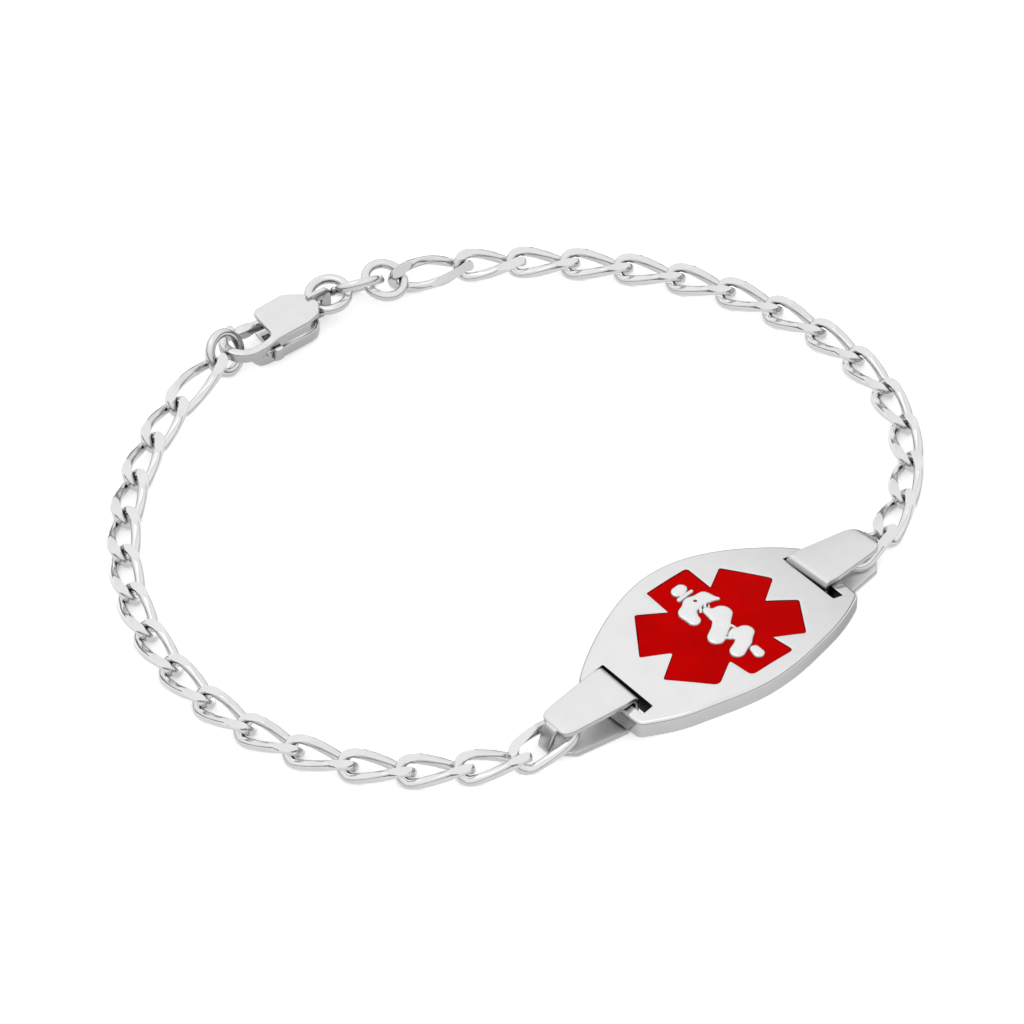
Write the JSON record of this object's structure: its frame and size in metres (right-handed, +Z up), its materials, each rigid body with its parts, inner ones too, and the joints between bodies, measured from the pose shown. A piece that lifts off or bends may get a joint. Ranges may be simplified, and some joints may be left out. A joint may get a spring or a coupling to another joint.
{
  "type": "medical alert bracelet",
  "caption": "Closed chain bracelet with an arched oval plate carrying a red enamel star, folded strap bails, flat-cut curb links and a lobster clasp with jump rings.",
  "frame": {"origin": "centre of the whole closed loop in plan, on the table that it lies on", "axes": "+X along the plate's long axis to its right-hand bail, +Y across the loop from the plate to the clasp, +Z up from the table, through the plate's face"},
  "size_m": [0.0682, 0.0612, 0.0039],
  "materials": {
    "plate_silver": "polished",
    "enamel": "glossy",
    "strap_silver": "polished",
    "chain_silver": "polished",
    "ring_silver": "polished",
    "clasp_silver": "polished"
  },
  "bodies": {
    "bracelet": {"plate": "plate_silver", "enamel_star": "enamel", "left_bail": "strap_silver", "right_bail": "strap_silver", "left_link_1": "chain_silver", "left_link_2": "chain_silver", "left_link_3": "chain_silver", "left_link_4": "chain_silver", "left_link_5": "chain_silver", "left_link_6": "chain_silver", "left_link_7": "chain_silver", "left_link_8": "chain_silver", "left_link_9": "chain_silver", "left_link_10": "chain_silver", "left_link_11": "chain_silver", "left_link_12": "chain_silver", "left_link_13": "chain_silver", "left_link_14": "chain_silver", "left_link_15": "chain_silver", "left_link_16": "chain_silver", "right_link_1": "chain_silver", "right_link_2": "chain_silver", "right_link_3": "chain_silver", "right_link_4": "chain_silver", "right_link_5": "chain_silver", "right_link_6": "chain_silver", "right_link_7": "chain_silver", "right_link_8": "chain_silver", "right_link_9": "chain_silver", "right_link_10": "chain_silver", "right_link_11": "chain_silver", "right_link_12": "chain_silver", "right_link_13": "chain_silver", "right_link_14": "chain_silver", "right_link_15": "chain_silver", "hook_ring": "ring_silver", "tail_ring": "ring_silver", "middle_ring": "ring_silver", "chain_ring": "ring_silver", "clasp_body": "clasp_silver"},
    "lever": {"clasp_lever": "clasp_silver"}
  },
  "joints": [
    {"name": "lever_pivot", "type": "hinge", "parent": "bracelet", "child": "lever", "pos_m": [-0.001, 0.02885, 0.00137], "axis": [0, 0, 1], "range_deg": [0, 20], "stiffness_Nm_per_rad": 0.002, "springref_deg": -5.73}
  ]
}
